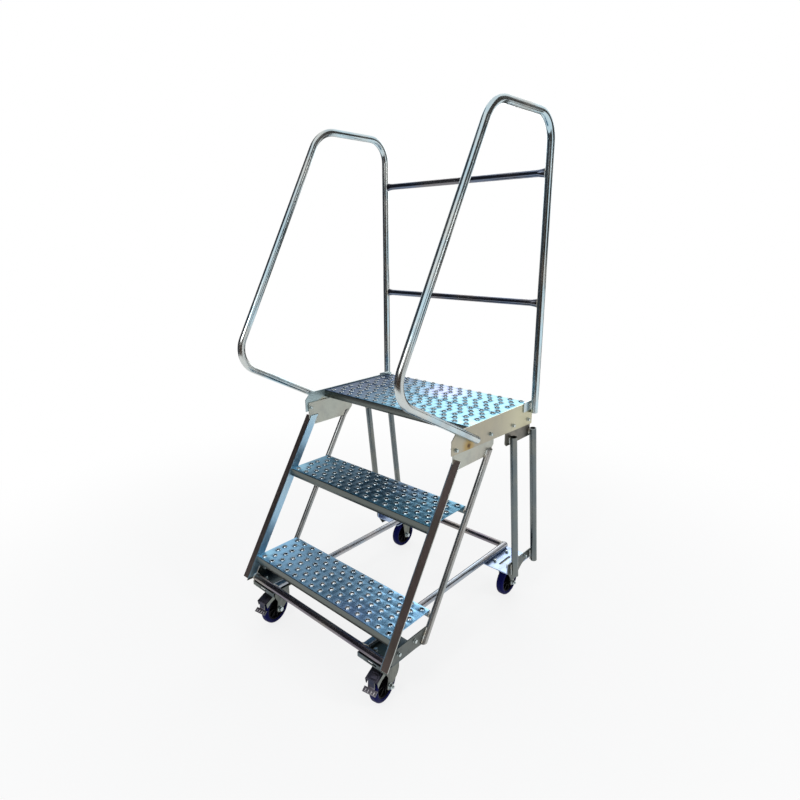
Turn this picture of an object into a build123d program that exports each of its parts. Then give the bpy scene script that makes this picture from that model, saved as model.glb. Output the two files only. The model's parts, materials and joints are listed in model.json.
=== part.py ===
from build123d import *
import math
import os

# Mobile safety steps on four castors, in millimetres.
# X is the width, Y the climbing direction and Z is up from the floor.
# While building, Y is measured from the line where the front face of the
# stiles would meet the floor. At the end everything moves so that Y is zero
# at the middle of the whole object's length.

# Clearances and shared overrun
overrun = 40.0
running_clearance = 0.05
wheel_clearance = 7.0
seat_gap = 0.3

# Steps and platform
stair_angle = 58.9
step_half_width = 284.0
tread_depth = 156.0
tread_lip = 24.5
sheet = 2.5
bottom_tread_height = 215.0
middle_tread_height = 463.0
platform_height = 690.0
platform_front = 438.4
platform_depth = 309.0
plank_gap = 2.0
platform_lip = 23.0

# Stiles, the angle sections at the front
stile_width = 25.0
stile_depth = 25.0
stile_thickness = 3.0
stile_top_drop = 76.0
stile_bottom = 152.0

# Round tubes
rail_tube = 21.3
small_tube = 19.0
tube_wall = 2.0
stringer_tube = 17.2
stringer_setback = 167.8
stringer_top_drop = 91.0
stringer_bottom = 138.0

# Flat plates beside the platform
plate_thickness = 3.0
side_plate_front = 356.0
post_behind_platform = 6.2
side_plate_behind_post = 7.9
side_plate_above_deck = 3.0
side_plate_chamfer = 22.0
side_plate_front_height = 61.0
side_plate_rear_height = 72.0
gusset_front = 366.0
gusset_rear = 555.5
gusset_top_drop = 33.0
gusset_height = 75.0
gusset_corner = 26.0
leg_lug_behind_gusset = 63.0
leg_lug_inset = 4.0
leg_lug_overlap = 19.0
leg_lug_drop = 38.0
leg_lug_chamfer = 7.0

# Handrails
rail_above_platform = 791.0
rail_front_corner = 469.7
rail_slope = 61.7
rail_low_corner_above_platform = 143.0
rail_low_slope = 28.4
rail_low_end = 451.3
rail_post_below_plate_top = 34.0
rail_rear_bend = 68.0
rail_front_bend = 100.0
rail_low_bend = 70.0
post_lug_length = 48.0
post_lug_height = 30.0
post_lug_above_post_end = 9.0
guard_drop = 144.0
knee_drop = 495.0

# Rear legs: top and bottom of each tube's centre line
front_leg_behind_lug = 26.2
front_leg_top_drop = 12.0
front_leg_bottom = (699.8, 125.0)
rear_leg_top_drop = 13.0
rear_leg_bottom = (819.0, 127.0)

# Base frame
castor_height = 132.0
side_tube_inset = 89.3
front_cross = 121.7
rear_cross = 800.4
mount_inset = 100.0
front_mount_front = 111.3
front_mount_length = 120.0
front_lip_drop = 13.0
lip_slot_length = 34.0
lip_slot_height = 5.0
rear_mount_front = 675.3
rear_mount_length = 144.0
mount_slot_inset = 45.0
mount_slot_length = 64.0
mount_slot_width = 8.0
mount_slot_centre = 737.3
flange_height = 28.0
base_plate_front_bottom = 145.0
base_plate_rear_bottom = 134.0
base_plate_top = 178.0
foot_plate_front = 674.3
foot_plate_rear = 812.3
foot_plate_top = 168.0
foot_plate_low = 100.0
foot_plate_toe = 27.5
foot_plate_step = 141.0

# Castors
wheel_diameter = 100.0
tyre_width = 25.0
tyre_inner_diameter = 76.0
tyre_shoulder = 8.0
hub_web = 12.0
hub_barrel = 24.0
hub_rim = 4.0
axle_diameter = 10.0
axle_head = 17.0
axle_head_height = 4.0
castor_plate_width = 80.0
castor_plate_length = 100.0
castor_plate_thickness = 3.0
castor_inset = 48.0
front_castor = 173.3
rear_castor = 761.3
castor_trail = 27.0
castor_turn_angle = 10.0
fork_sheet = 2.5
fork_roof_top = 109.0
fork_end_radius = 11.5
fork_back = 18.5
fork_knee_height = 64.0
fork_knee_radius = 30.0
fork_roof_front = 44.0
fork_leg_front = 33.5
fork_leg_flare_height = 78.0
fork_brow_height = 99.0
race_diameter = 56.0
race_skirt = 6.0
race_height = 7.0
king_pin_diameter = 12.0
king_pin_head = 20.0
king_pin_head_height = 4.0
rear_housing_top = 46.0
rear_housing_chamfer = 10.0

# Brake pedals, in the castor's own side view: distance in front of the swivel and height
pedal_sheet = 2.2
pedal_cover_back = (49.0, 104.5)
pedal_cover_front = (79.5, 94.5)
pedal_neck_foot = (80.5, 72.5)
pedal_toe_end = (92.5, 65.0)
pedal_neck_width = 20.0
pedal_toe_width = 40.0
pedal_flange_back = (37.0, 99.5)
pedal_flange_low = (37.0, 94.0)
pedal_flange_arch = (60.0, 88.5)
pedal_flange_tip = (76.0, 78.0)

# Layers outward and inward from the treads' ends
stile_inner = step_half_width
inner_plate = stile_inner + stile_thickness
outer_plate = inner_plate + plate_thickness
rail_inner = outer_plate + plate_thickness
rail_offset = rail_inner + rail_tube / 2
leg_offset = outer_plate + rail_tube / 2
stringer_offset = stile_inner + stringer_tube / 2
side_tube_offset = step_half_width - side_tube_inset
mount_inner = step_half_width - mount_inset
mount_slot_offset = step_half_width - mount_slot_inset
castor_offset = step_half_width - castor_inset
mount_top = castor_height + plate_thickness
base_tube_height = mount_top + rail_tube / 2
wheel_radius = wheel_diameter / 2
fork_inner = tyre_width / 2 + wheel_clearance
fork_outer = fork_inner + fork_sheet
stair_run = 1 / math.tan(math.radians(stair_angle))

# Lengths and heights beside the platform, each from the piece that it follows
rail_post = platform_front + platform_depth + post_behind_platform
side_plate_rear = rail_post + side_plate_behind_post
leg_lug_front = gusset_rear + leg_lug_behind_gusset
leg_lug_rear = side_plate_rear - leg_lug_inset
side_plate_top = platform_height + side_plate_above_deck
side_plate_front_bottom = side_plate_top - side_plate_front_height
side_plate_rear_bottom = side_plate_top - side_plate_rear_height
gusset_top = side_plate_top - gusset_top_drop
stile_top = side_plate_top - stile_top_drop
stringer_top = side_plate_top - stringer_top_drop
gusset_bottom = gusset_top - gusset_height
leg_lug_top = side_plate_rear_bottom + leg_lug_overlap
leg_lug_bottom = side_plate_rear_bottom - leg_lug_drop
rail_post_bottom = side_plate_top - rail_post_below_plate_top
post_lug_bottom = rail_post_bottom + post_lug_above_post_end
rail_top = platform_height + rail_above_platform
rail_low_corner_height = platform_height + rail_low_corner_above_platform
guard_height = rail_top - guard_drop
knee_height = rail_top - knee_drop
front_leg_top = (leg_lug_front + front_leg_behind_lug, side_plate_rear_bottom - front_leg_top_drop)
rear_leg_top = (leg_lug_rear, side_plate_rear_bottom - rear_leg_top_drop)

pieces = {}


def side_plate(points, inner, thickness):
    """A flat plate that stands along Y and Z, from its corner points."""
    plane = Plane(origin=(inner, 0, 0), x_dir=(0, 1, 0), z_dir=(1, 0, 0))
    return extrude(plane * make_face(Polyline(*points, close=True)), amount=thickness)


def tube(start, end, diameter):
    """A straight round tube between two points."""
    axis = Vector(*end) - Vector(*start)
    ring = Circle(diameter / 2) - Circle(diameter / 2 - tube_wall)
    return extrude(Plane(origin=start, z_dir=axis) * ring, amount=axis.length)


def rod(start, end, diameter):
    """A solid round bar between two points, used to cope a tube or a plate."""
    axis = Vector(*end) - Vector(*start)
    return extrude(Plane(origin=start, z_dir=axis) * Circle(diameter / 2), amount=axis.length)


def slab(low, high):
    """All space between two heights, wide enough for the whole object."""
    reach = 2 * rail_top
    return Pos(0, 0, (low + high) / 2) * Box(reach, reach, high - low)


def add_pair(name, right):
    """Keep a right-hand piece and its mirror image on the left."""
    pieces[name + "_right"] = right
    pieces[name + "_left"] = mirror(right, about=Plane.YZ)


def channel(front, depth, top, lip, half_width):
    """A folded sheet step: a flat top with a lip turned down at each long edge."""
    middle = front + depth / 2
    body = Pos(0, middle, top - lip / 2) * Box(2 * half_width, depth, lip)
    inside = Pos(0, middle, top - sheet - lip / 2) * Box(
        2 * (half_width + overrun), depth - 2 * sheet, lip)
    rounded = fillet(body.edges().filter_by(Axis.X).group_by(Axis.Z)[-1], sheet)
    return rounded - inside


def treads():
    for name, height in (("tread_bottom", bottom_tread_height), ("tread_middle", middle_tread_height)):
        pieces[name] = channel(height * stair_run, tread_depth, height, tread_lip, step_half_width)


def platform():
    plank = (platform_depth - plank_gap) / 2
    for name, front in (("platform_plank_front", platform_front),
                        ("platform_plank_rear", platform_front + plank + plank_gap)):
        pieces[name] = channel(front, plank, platform_height, platform_lip, outer_plate)


def sloped(section, low, high):
    """A section carried up the stair slope and cut level at both ends."""
    slope = Vector(0, math.cos(math.radians(stair_angle)), math.sin(math.radians(stair_angle)))
    plane = Plane(origin=(0, 0, 0), x_dir=(1, 0, 0), z_dir=slope)
    length = (high + overrun + stringer_setback) / slope.Z
    return extrude(plane * section, amount=length) & slab(low, high)


def stile():
    corner = (Align.MIN, Align.MIN)
    angle = Rectangle(stile_width, stile_thickness, align=corner)
    angle += Rectangle(stile_thickness, stile_depth, align=corner)
    return sloped(Pos(stile_inner, 0) * angle, stile_bottom, stile_top)


def stringer_section(inner_diameter):
    setback = stringer_setback * math.sin(math.radians(stair_angle))
    ring = Circle(stringer_tube / 2)
    if inner_diameter:
        ring -= Circle(inner_diameter / 2)
    return Pos(stringer_offset, setback) * ring


def stringer():
    return sloped(stringer_section(stringer_tube - 2 * tube_wall), stringer_bottom, stringer_top)


def stringer_bar():
    """The full round of the stringer, which the plates it is welded into are cut by."""
    return sloped(stringer_section(0), stringer_bottom, stringer_top)


def side_plates():
    points = [
        (side_plate_front + side_plate_chamfer, side_plate_top),
        (side_plate_front, side_plate_top - side_plate_chamfer),
        (side_plate_front, side_plate_front_bottom),
        (side_plate_rear, side_plate_rear_bottom),
        (side_plate_rear, side_plate_top),
    ]
    add_pair("side_plate", side_plate(points, outer_plate, plate_thickness))
    points = [
        (gusset_front, gusset_bottom),
        (gusset_rear - gusset_corner, gusset_bottom),
        (gusset_rear, gusset_bottom + gusset_corner),
        (gusset_rear, gusset_top),
        (gusset_front, gusset_top),
    ]
    gusset = side_plate(points, inner_plate, plate_thickness)
    add_pair("gusset", gusset - stile() - stringer_bar())
    points = [
        (leg_lug_front, leg_lug_top),
        (leg_lug_front, leg_lug_bottom + leg_lug_chamfer),
        (leg_lug_front + leg_lug_chamfer, leg_lug_bottom),
        (leg_lug_rear, leg_lug_bottom),
        (leg_lug_rear, leg_lug_top),
    ]
    add_pair("leg_lug", side_plate(points, inner_plate, plate_thickness))


def handrail():
    drop = rail_top - rail_low_corner_height
    low_corner = rail_front_corner - drop / math.tan(math.radians(rail_slope))
    low_end = rail_low_corner_height - (rail_low_end - low_corner) * math.tan(math.radians(rail_low_slope))
    corners = [
        (rail_low_end, low_end),
        (low_corner, rail_low_corner_height),
        (rail_front_corner, rail_top),
        (rail_post, rail_top),
        (rail_post, rail_post_bottom),
    ]
    route = FilletPolyline(*[(rail_offset, y, z) for y, z in corners],
                           radius=[rail_low_bend, rail_front_bend, rail_rear_bend])
    ring = Circle(rail_tube / 2) - Circle(rail_tube / 2 - tube_wall)
    bent = sweep(Plane(origin=route @ 0, z_dir=route % 0) * ring, path=route)
    lug_top = post_lug_bottom + post_lug_height
    lug = side_plate([(rail_post - post_lug_length, post_lug_bottom), (rail_post, post_lug_bottom),
                      (rail_post, lug_top), (rail_post - post_lug_length, lug_top)],
                     rail_inner, plate_thickness)
    inside = rod((rail_offset, rail_post, rail_post_bottom), (rail_offset, rail_post, lug_top),
                 rail_tube - 2 * tube_wall)
    return bent + (lug - inside)


def rails():
    add_pair("handrail", handrail())
    for name, height in (("guard_rail", guard_height), ("knee_rail", knee_height)):
        rail = tube((-rail_offset, rail_post, height), (rail_offset, rail_post, height), small_tube)
        for side in (-1, 1):
            x = side * rail_offset
            rail -= rod((x, rail_post, height - overrun), (x, rail_post, height + overrun), rail_tube)
        pieces[name] = rail


def legs():
    for name, top, bottom in (("rear_leg_forward", front_leg_top, front_leg_bottom),
                              ("rear_leg_aft", rear_leg_top, rear_leg_bottom)):
        add_pair(name, tube((leg_offset, *bottom), (leg_offset, *top), rail_tube))
    curve_start = (foot_plate_rear - rail_tube, foot_plate_step)
    curve_end = (front_leg_bottom[0] + foot_plate_toe, foot_plate_low)
    curve_middle = ((curve_start[0] + curve_end[0]) / 2 - rail_tube / 2,
                    (curve_start[1] + curve_end[1]) / 2 + rail_tube / 4)
    outline = Polyline(
        curve_end,
        (front_leg_bottom[0], foot_plate_low),
        (foot_plate_front, foot_plate_step),
        (foot_plate_front, foot_plate_top),
        (foot_plate_rear, foot_plate_top),
        (foot_plate_rear, foot_plate_step),
        curve_start)
    outline += ThreePointArc(curve_start, curve_middle, curve_end)
    plane = Plane(origin=(inner_plate, 0, 0), x_dir=(0, 1, 0), z_dir=(1, 0, 0))
    add_pair("leg_foot_plate", extrude(plane * make_face(outline), amount=plate_thickness))


def base_frame():
    front = [(-step_half_width, front_cross), (step_half_width, front_cross)]
    front = [(x, y, base_tube_height) for x, y in front]
    rear = [(-side_tube_offset, rear_cross, base_tube_height),
            (side_tube_offset, rear_cross, base_tube_height)]
    side = [(side_tube_offset, front_cross, base_tube_height),
            (side_tube_offset, rear_cross + rail_tube / 2, base_tube_height)]
    cope = rail_tube + 2 * running_clearance
    pieces["front_cross_tube"] = tube(*front, rail_tube)
    add_pair("base_side_tube", tube(*side, rail_tube) - rod(*front, cope))
    rear_tube = tube(*rear, rail_tube)
    for x in (-side_tube_offset, side_tube_offset):
        rear_tube -= rod((x, front_cross, base_tube_height),
                         (x, rear_cross + overrun, base_tube_height), cope)
    pieces["rear_cross_tube"] = rear_tube
    stile_back = stile_thickness / math.sin(math.radians(stair_angle))
    points = [
        (base_plate_front_bottom * stair_run + stile_back, base_plate_front_bottom),
        (base_plate_rear_bottom * stair_run + stringer_setback, base_plate_rear_bottom),
        (base_plate_top * stair_run + stringer_setback, base_plate_top),
        (base_plate_top * stair_run + stile_back, base_plate_top),
    ]
    plate = side_plate(points, inner_plate, plate_thickness)
    add_pair("base_side_plate", plate - stringer_bar())


def mount_plate(front, length):
    """A castor's mounting plate with its outer edge turned up as a flange."""
    flat = [(front, castor_height), (front + length, castor_height),
            (front + length, mount_top), (front, mount_top)]
    plate = side_plate(flat, mount_inner, inner_plate - mount_inner)
    clear = front_cross + rail_tube / 2 + seat_gap
    flange_front = max(front, clear)
    root = mount_top - plate_thickness / 2
    flange = [(flange_front, root), (front + length, root),
              (front + length, mount_top + flange_height), (flange_front, mount_top + flange_height)]
    return plate + side_plate(flange, inner_plate - plate_thickness, plate_thickness)


def mount_plates():
    plate = mount_plate(front_mount_front, front_mount_length)
    lip_low = mount_top - front_lip_drop
    lip = [(front_mount_front, lip_low), (front_mount_front + plate_thickness, lip_low),
           (front_mount_front + plate_thickness, mount_top), (front_mount_front, mount_top)]
    plate += side_plate(lip, mount_inner, inner_plate - mount_inner)
    slot = Plane(origin=(castor_offset, front_mount_front, lip_low + front_lip_drop / 2),
                 x_dir=(1, 0, 0), z_dir=(0, -1, 0)) * SlotOverall(lip_slot_length, lip_slot_height)
    plate -= extrude(slot, amount=plate_thickness + overrun / 4, both=True)
    add_pair("front_mount_plate", plate)
    plate = mount_plate(rear_mount_front, rear_mount_length)
    slot = Pos(mount_slot_offset, mount_slot_centre, mount_top) * Rot(0, 0, 90) * SlotOverall(
        mount_slot_length, mount_slot_width)
    plate -= extrude(slot, amount=2 * plate_thickness, both=True)
    add_pair("rear_mount_plate", plate)


def disc(radius, low, high, bore=0.0):
    """A flat round piece about the Z axis between two heights."""
    section = Circle(radius)
    if bore:
        section -= Circle(bore)
    return extrude(Plane.XY.offset(low) * section, amount=high - low)


def wheel():
    """Tyre, hub and axle about the X axis through the origin."""
    inner = tyre_inner_diameter / 2
    tread = Pos(0, (inner + wheel_radius) / 2) * Rectangle(tyre_width, wheel_radius - inner)
    tread = fillet(tread.vertices().group_by(Axis.Y)[-1], tyre_shoulder)
    tyre = revolve(tread, Axis.X)
    bore = axle_diameter / 2 + running_clearance
    barrel_length = 2 * (fork_inner - seat_gap)
    web = Pos(0, (bore + inner) / 2) * Rectangle(hub_web, inner - bore)
    barrel = Pos(0, (bore + hub_barrel / 2) / 2) * Rectangle(barrel_length, hub_barrel / 2 - bore)
    rim = Pos(0, inner - hub_rim / 2) * Rectangle(tyre_width - tyre_shoulder, hub_rim)
    hub = revolve(web + barrel + rim, Axis.X)
    shank = extrude(Plane.YZ * Circle(axle_diameter / 2), amount=fork_outer, both=True)
    head = Plane.YZ.offset(fork_outer) * RegularPolygon(axle_head / 2, 6, major_radius=False)
    head = extrude(head, amount=axle_head_height)
    axle = shank + head + mirror(head, about=Plane.YZ)
    return {"tyre": tyre, "hub": hub, "axle": axle}


def cheek(outline):
    """One of the two upright walls beside a wheel, bored for the axle."""
    plane = Plane(origin=(fork_inner, 0, 0), x_dir=(0, 1, 0), z_dir=(1, 0, 0))
    return extrude(plane * outline, amount=fork_sheet)


def axle_bore(y):
    bore = Plane(origin=(0, y, wheel_radius), x_dir=(0, 1, 0), z_dir=(1, 0, 0))
    return extrude(bore * Circle(axle_diameter / 2 + running_clearance), amount=2 * fork_outer, both=True)


def swivel_plate():
    """The front castor's fixed top plate with its race skirt and king pin."""
    low = castor_height - castor_plate_thickness
    plate = Pos(0, 0, castor_height - castor_plate_thickness / 2) * Box(
        castor_plate_width, castor_plate_length, castor_plate_thickness)
    race = race_diameter / 2
    skirt_low = fork_roof_top + race_height
    plate += disc(race + fork_sheet, skirt_low - race_skirt / 2, low, race)
    plate += disc(race, low - fork_sheet, low)
    pin_low = fork_roof_top - fork_sheet - king_pin_head_height
    plate += disc(king_pin_diameter / 2, pin_low, low)
    head_top = fork_roof_top - fork_sheet - running_clearance
    return plate + disc(king_pin_head / 2, pin_low, head_top)


def fork_leg():
    """One leg of the fork: upright behind, swept forward in a knee and rounded at the axle."""
    back, top = fork_back, fork_roof_top
    outline = Polyline(
        (back, top), (back, fork_knee_height), (-castor_trail, wheel_radius - fork_end_radius),
        (-castor_trail - fork_end_radius, wheel_radius), (-fork_leg_front, fork_leg_flare_height),
        (-fork_roof_front, fork_brow_height), (-fork_roof_front, top), close=True)
    face = make_face(outline)
    knee = face.vertices().filter_by(lambda corner: abs(corner.Y - fork_knee_height) < seat_gap)
    face = fillet(knee, fork_knee_radius)
    return cheek(face + Pos(-castor_trail, wheel_radius) * Circle(fork_end_radius))


def fork():
    """The front castor's swivelling fork, open over the front of the wheel."""
    roof_low = fork_roof_top - fork_sheet
    leg = fork_leg()
    roof_length = fork_back + fork_roof_front
    roof = Pos(0, fork_back - roof_length / 2, roof_low + fork_sheet / 2) * Box(
        2 * fork_inner, roof_length, fork_sheet)
    body = roof + leg + mirror(leg, about=Plane.YZ)
    race = race_diameter / 2 - fork_sheet / 2
    body += disc(race - fork_sheet, roof_low, fork_roof_top + race_height)
    body -= disc(king_pin_diameter / 2 + running_clearance, 0, castor_height)
    return body - axle_bore(-castor_trail)


def pressed(points, width):
    """A strip of sheet bent along a side-view route, centred across the castor."""
    route = [(-forward, up) for forward, up in points]
    plane = Plane(origin=(0, 0, 0), x_dir=(0, 1, 0), z_dir=(1, 0, 0))
    strip = offset(Polyline(*route), amount=pedal_sheet, side=Side.LEFT)
    return extrude(plane * make_face(strip), amount=width / 2, both=True)


def brake_pedal():
    """A flat cover with turned-down sides, a narrow neck and a ribbed toe tab."""
    half = fork_inner - seat_gap
    cover = pressed([pedal_cover_back, pedal_cover_front], 2 * half)
    neck = pressed([pedal_cover_back, pedal_cover_front, pedal_neck_foot, pedal_toe_end], pedal_neck_width)
    toe = pressed([pedal_neck_foot, pedal_toe_end], pedal_toe_width)
    points = [pedal_cover_front, pedal_cover_back, pedal_flange_back, pedal_flange_low,
              pedal_flange_arch, pedal_flange_tip]
    flange = side_plate([(-forward, up) for forward, up in points], half - pedal_sheet, pedal_sheet)
    return cover + neck + toe + flange + mirror(flange, about=Plane.YZ)


def rear_housing():
    """The fixed rear castor: top plate and two tapered walls, folded from one sheet."""
    low = castor_height - castor_plate_thickness
    plate = Pos(0, 0, castor_height - castor_plate_thickness / 2) * Box(
        castor_plate_width, castor_plate_length, castor_plate_thickness)
    half = rear_housing_top / 2
    outline = make_face(Polyline(
        (-half, low), (-half, low - rear_housing_chamfer), (-fork_end_radius, wheel_radius),
        (fork_end_radius, wheel_radius), (half, low - rear_housing_chamfer), (half, low), close=True))
    outline += Pos(0, wheel_radius) * Circle(fork_end_radius)
    wall = cheek(outline)
    return plate + wall + mirror(wall, about=Plane.YZ) - axle_bore(0)


def castors():
    for side, name in ((1, "right"), (-1, "left")):
        swivel = Location((side * castor_offset, front_castor, 0), (0, 0, castor_turn_angle))
        fixed = Location((side * castor_offset, front_castor, 0))
        pieces["swivel_plate_" + name] = fixed * swivel_plate()
        pieces["fork_" + name] = swivel * fork()
        pieces["brake_pedal_" + name] = swivel * brake_pedal()
        rear = Location((side * castor_offset, rear_castor, 0))
        pieces["rear_housing_" + name] = rear * rear_housing()
        for piece, solid in wheel().items():
            pieces["front_" + piece + "_" + name] = swivel * Pos(0, -castor_trail, wheel_radius) * solid
            pieces["rear_" + piece + "_" + name] = rear * Pos(0, 0, wheel_radius) * solid


def main():
    treads()
    platform()
    add_pair("front_stile", stile())
    add_pair("rear_stringer", stringer())
    side_plates()
    rails()
    legs()
    base_frame()
    mount_plates()
    castors()
    boxes = [solid.bounding_box() for solid in pieces.values()]
    middle = (min(box.min.Y for box in boxes) + max(box.max.Y for box in boxes)) / 2
    print("length moved by", round(-middle, 3))
    os.makedirs("parts", exist_ok=True)
    for name, solid in pieces.items():
        export_step(Pos(0, -middle, 0) * solid, "parts/" + name + ".step")


main()
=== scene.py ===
# %% [markdown]
# # Mobile safety steps
#
# A short wheeled stair of zinc plated steel: two dimpled treads, a dimpled
# platform, bent tube handrails and four castors with navy blue treads.
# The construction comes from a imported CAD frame, and this lesson adds what a
# frame of plain solids lacks: pressed dimples, bolts, weld beads, moulded
# wheels and the cloudy finish of zinc plating. All lengths are in metres.

# %% Tools and the fixed frame
import json
import math

import bmesh
import bpy
import numpy as np
from mathutils import Matrix, Vector

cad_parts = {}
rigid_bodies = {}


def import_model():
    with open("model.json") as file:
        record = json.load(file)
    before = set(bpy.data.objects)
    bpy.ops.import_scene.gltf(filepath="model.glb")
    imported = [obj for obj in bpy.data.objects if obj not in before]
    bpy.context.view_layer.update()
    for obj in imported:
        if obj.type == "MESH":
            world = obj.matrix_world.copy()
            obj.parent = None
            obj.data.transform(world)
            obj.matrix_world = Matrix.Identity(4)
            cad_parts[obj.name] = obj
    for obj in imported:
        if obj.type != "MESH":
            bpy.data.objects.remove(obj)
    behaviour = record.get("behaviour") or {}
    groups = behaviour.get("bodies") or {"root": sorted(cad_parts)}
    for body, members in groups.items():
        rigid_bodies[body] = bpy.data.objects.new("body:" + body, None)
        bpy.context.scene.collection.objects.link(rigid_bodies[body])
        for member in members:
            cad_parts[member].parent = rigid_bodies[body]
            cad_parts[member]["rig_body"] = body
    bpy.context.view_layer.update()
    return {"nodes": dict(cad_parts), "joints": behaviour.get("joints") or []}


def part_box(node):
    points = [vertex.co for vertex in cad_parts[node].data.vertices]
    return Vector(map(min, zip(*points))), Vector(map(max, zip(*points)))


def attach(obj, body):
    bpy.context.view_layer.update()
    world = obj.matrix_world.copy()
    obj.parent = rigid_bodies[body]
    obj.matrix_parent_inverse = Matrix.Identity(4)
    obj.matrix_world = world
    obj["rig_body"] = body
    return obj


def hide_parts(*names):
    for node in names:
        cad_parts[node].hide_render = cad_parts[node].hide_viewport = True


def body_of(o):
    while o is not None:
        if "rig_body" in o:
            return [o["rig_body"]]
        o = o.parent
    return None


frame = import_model()
nodes = frame["nodes"]
MM = 0.001

# %% [markdown]
# ## The photograph's camera
#
# The camera was worked out from edges of the steps: where it stands, which
# way it looks and how long its lens is. It stands to the right of the stair's
# foot, a little above the knee rail, and looks down by 15 degrees.

# %% Camera
CAMERA_PLACE = Vector((1.0837, -1.1727, 1.1632))
CAMERA_AZIMUTH = math.radians(42.681)
CAMERA_DOWN = math.radians(15.426)
CAMERA_ROLL = math.radians(-0.439)
FOCAL_PIXELS = 558.46
PICTURE_PIXELS = 800
MIDDLE_PIXEL = (393.36, 394.53)
SENSOR = 36.0

back = Vector((math.sin(CAMERA_AZIMUTH) * math.cos(CAMERA_DOWN),
               -math.cos(CAMERA_AZIMUTH) * math.cos(CAMERA_DOWN),
               math.sin(CAMERA_DOWN)))
level = Vector((math.cos(CAMERA_AZIMUTH), math.sin(CAMERA_AZIMUTH), 0))
above = back.cross(level)
right = math.cos(CAMERA_ROLL) * level + math.sin(CAMERA_ROLL) * above
up = math.cos(CAMERA_ROLL) * above - math.sin(CAMERA_ROLL) * level

camera_data = bpy.data.cameras.new("camera")
camera_data.sensor_width = SENSOR
camera_data.lens = FOCAL_PIXELS * SENSOR / PICTURE_PIXELS
camera_data.shift_x = (PICTURE_PIXELS / 2 - MIDDLE_PIXEL[0]) / PICTURE_PIXELS
camera_data.shift_y = (MIDDLE_PIXEL[1] - PICTURE_PIXELS / 2) / PICTURE_PIXELS
camera = bpy.data.objects.new("camera", camera_data)
camera.matrix_world = Matrix.Translation(CAMERA_PLACE) @ Matrix((right, up, back)).transposed().to_4x4()
bpy.context.scene.collection.objects.link(camera)
bpy.context.scene.camera = camera
print("lens", round(camera_data.lens, 2), "mm")

# %% [markdown]
# ## Shader sums written as Python
#
# A finish is easier to read as a formula than as a list of nodes. The class
# below wraps one socket, so that adding or multiplying wrapped sockets places
# the Math nodes. Everything else comes from one method that takes a node's
# type, its settings and what goes into its sockets.

# %% Wrapped sockets and finishes
class Wire:
    """One output socket that takes part in Python sums."""

    def __init__(self, finish, socket):
        self.finish = finish
        self.socket = socket

    def math(self, operation, *others):
        return self.finish.node("ShaderNodeMath", {"operation": operation}, *[self, *others])

    def __add__(self, other):
        return self.math("ADD", other)

    def __radd__(self, other):
        return self.math("ADD", other)

    def __sub__(self, other):
        return self.math("SUBTRACT", other)

    def __rsub__(self, other):
        return self.finish.node("ShaderNodeMath", {"operation": "SUBTRACT"}, other, self)

    def __mul__(self, other):
        return self.math("MULTIPLY", other)

    def __rmul__(self, other):
        return self.math("MULTIPLY", other)

    def __truediv__(self, other):
        return self.math("DIVIDE", other)

    def __pow__(self, other):
        return self.math("POWER", other)

    def clamp(self):
        return self.math("MAXIMUM", 0).math("MINIMUM", 1)

    def ramp(self, low, high):
        """0 below low, 1 above high and a smooth rise between them."""
        settings = {"interpolation_type": "SMOOTHSTEP"}
        return self.finish.node("ShaderNodeMapRange", settings, self, low, high, 0.0, 1.0)


class Finish:
    """A material under construction, with a Principled shader at its end."""

    def __init__(self, name, **constants):
        self.material = bpy.data.materials.new(name)
        self.material.use_nodes = True
        self.tree = self.material.node_tree
        self.shader = self.tree.nodes["Principled BSDF"]
        for socket, value in constants.items():
            self.shader.inputs[socket.replace("_", " ")].default_value = value
        self.place = self.node("ShaderNodeTexCoord", {}, output="Object")

    def node(self, kind, settings, *inputs, output=0, **named):
        made = self.tree.nodes.new(kind)
        for key, value in settings.items():
            setattr(made, key, value)
        pairs = list(zip(made.inputs, inputs))
        pairs += [(made.inputs[key.replace("_", " ")], value) for key, value in named.items()]
        for socket, value in pairs:
            self.feed(socket, value)
        return Wire(self, made.outputs[output])

    def feed(self, socket, value):
        if isinstance(value, Wire):
            self.tree.links.new(value.socket, socket)
        else:
            socket.default_value = value

    def stretch(self, scale, turn=(0, 0, 0)):
        """Object coordinates scaled by three factors, to draw a pattern out along an axis."""
        return self.node("ShaderNodeMapping", {}, self.place, (0, 0, 0), turn, scale)

    def noise(self, scale, detail=4.0, roughness=0.55, place=None, distortion=0.0):
        return self.node("ShaderNodeTexNoise", {}, Vector=place or self.place, Scale=scale,
                         Detail=detail, Roughness=roughness, Distortion=distortion)

    def cells(self, scale, feature="F1", output="Distance", place=None):
        return self.node("ShaderNodeTexVoronoi", {"feature": feature}, Vector=place or self.place,
                         Scale=scale, output=output)

    def mix(self, factor, first, second):
        """A colour between two colours."""
        made = self.tree.nodes.new("ShaderNodeMix")
        made.data_type = "RGBA"
        for socket, value in ((made.inputs[0], factor), (made.inputs[6], first), (made.inputs[7], second)):
            self.feed(socket, (*value, 1.0) if isinstance(value, tuple) else value)
        return Wire(self, made.outputs[2])

    def bump(self, height, distance, strength=1.0):
        return self.node("ShaderNodeBump", {}, Strength=strength, Distance=distance, Height=height)

    def paint(self, **sockets):
        for socket, value in sockets.items():
            self.feed(self.shader.inputs[socket.replace("_", " ")], value)
        return self.material


def dress(names, material):
    """Give every CAD node whose name starts with one of these the same finish."""
    found = [o for n, o in nodes.items() if n.startswith(tuple(names))]
    for o in found:
        o.data.materials.clear()
        o.data.materials.append(material)
    print(material.name, "on", len(found), "nodes")

# %% [markdown]
# ## Zinc plated steel
#
# Bright zinc is never one colour. The bath leaves cloudy patches, the rolled
# or drawn steel below shows as faint lines along the piece, and fingers and
# water dull it in spots. So the colour is a mix of a cool and a warm tone by
# a large soft noise, with long thin streaks along the piece on top.

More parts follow.
